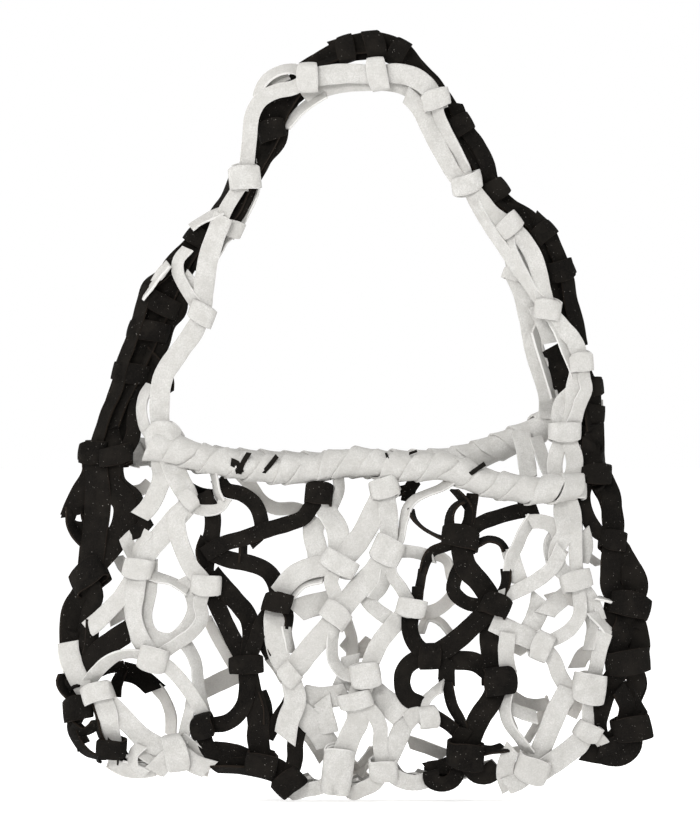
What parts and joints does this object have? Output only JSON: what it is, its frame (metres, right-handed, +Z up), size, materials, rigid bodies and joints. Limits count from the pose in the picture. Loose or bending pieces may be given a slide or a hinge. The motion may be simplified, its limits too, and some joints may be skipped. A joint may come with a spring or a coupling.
{
  "type": "knotted suede strip shoulder bag",
  "caption": "Small shoulder bag knotted as an open net from flat suede strips, white with black columns, with two wrapped rims and one bundled handle.",
  "frame": {"origin": "middle of the bag's footprint, on the surface that it stands on", "axes": "+Z up through the handle, +X along the mouth to the right, front at -Y"},
  "size_m": [0.3607, 0.0873, 0.462],
  "materials": {
    "white_suede": "napped white suede, matt, greyer where strips turn away",
    "black_suede": "napped black suede, matt, brownish on the cut edges, with pale specks of lint"
  },
  "bodies": {
    "root": {"rim_front": "white_suede", "rim_back": "white_suede", "base_white": "white_suede", "handle_white": "white_suede", "handle_white_inner": "white_suede", "front_white_mid": "white_suede", "front_white_left": "white_suede", "front_white_right": "white_suede", "back_white_mid": "white_suede", "back_white_left": "white_suede", "back_white_right": "white_suede", "base_black_left": "black_suede", "base_black_right": "black_suede", "handle_black": "black_suede", "front_black_left": "black_suede", "front_black_right": "black_suede", "side_black_left": "black_suede", "side_black_right": "black_suede", "back_black_left": "black_suede", "back_black_right": "black_suede"}
  },
  "joints": []
}
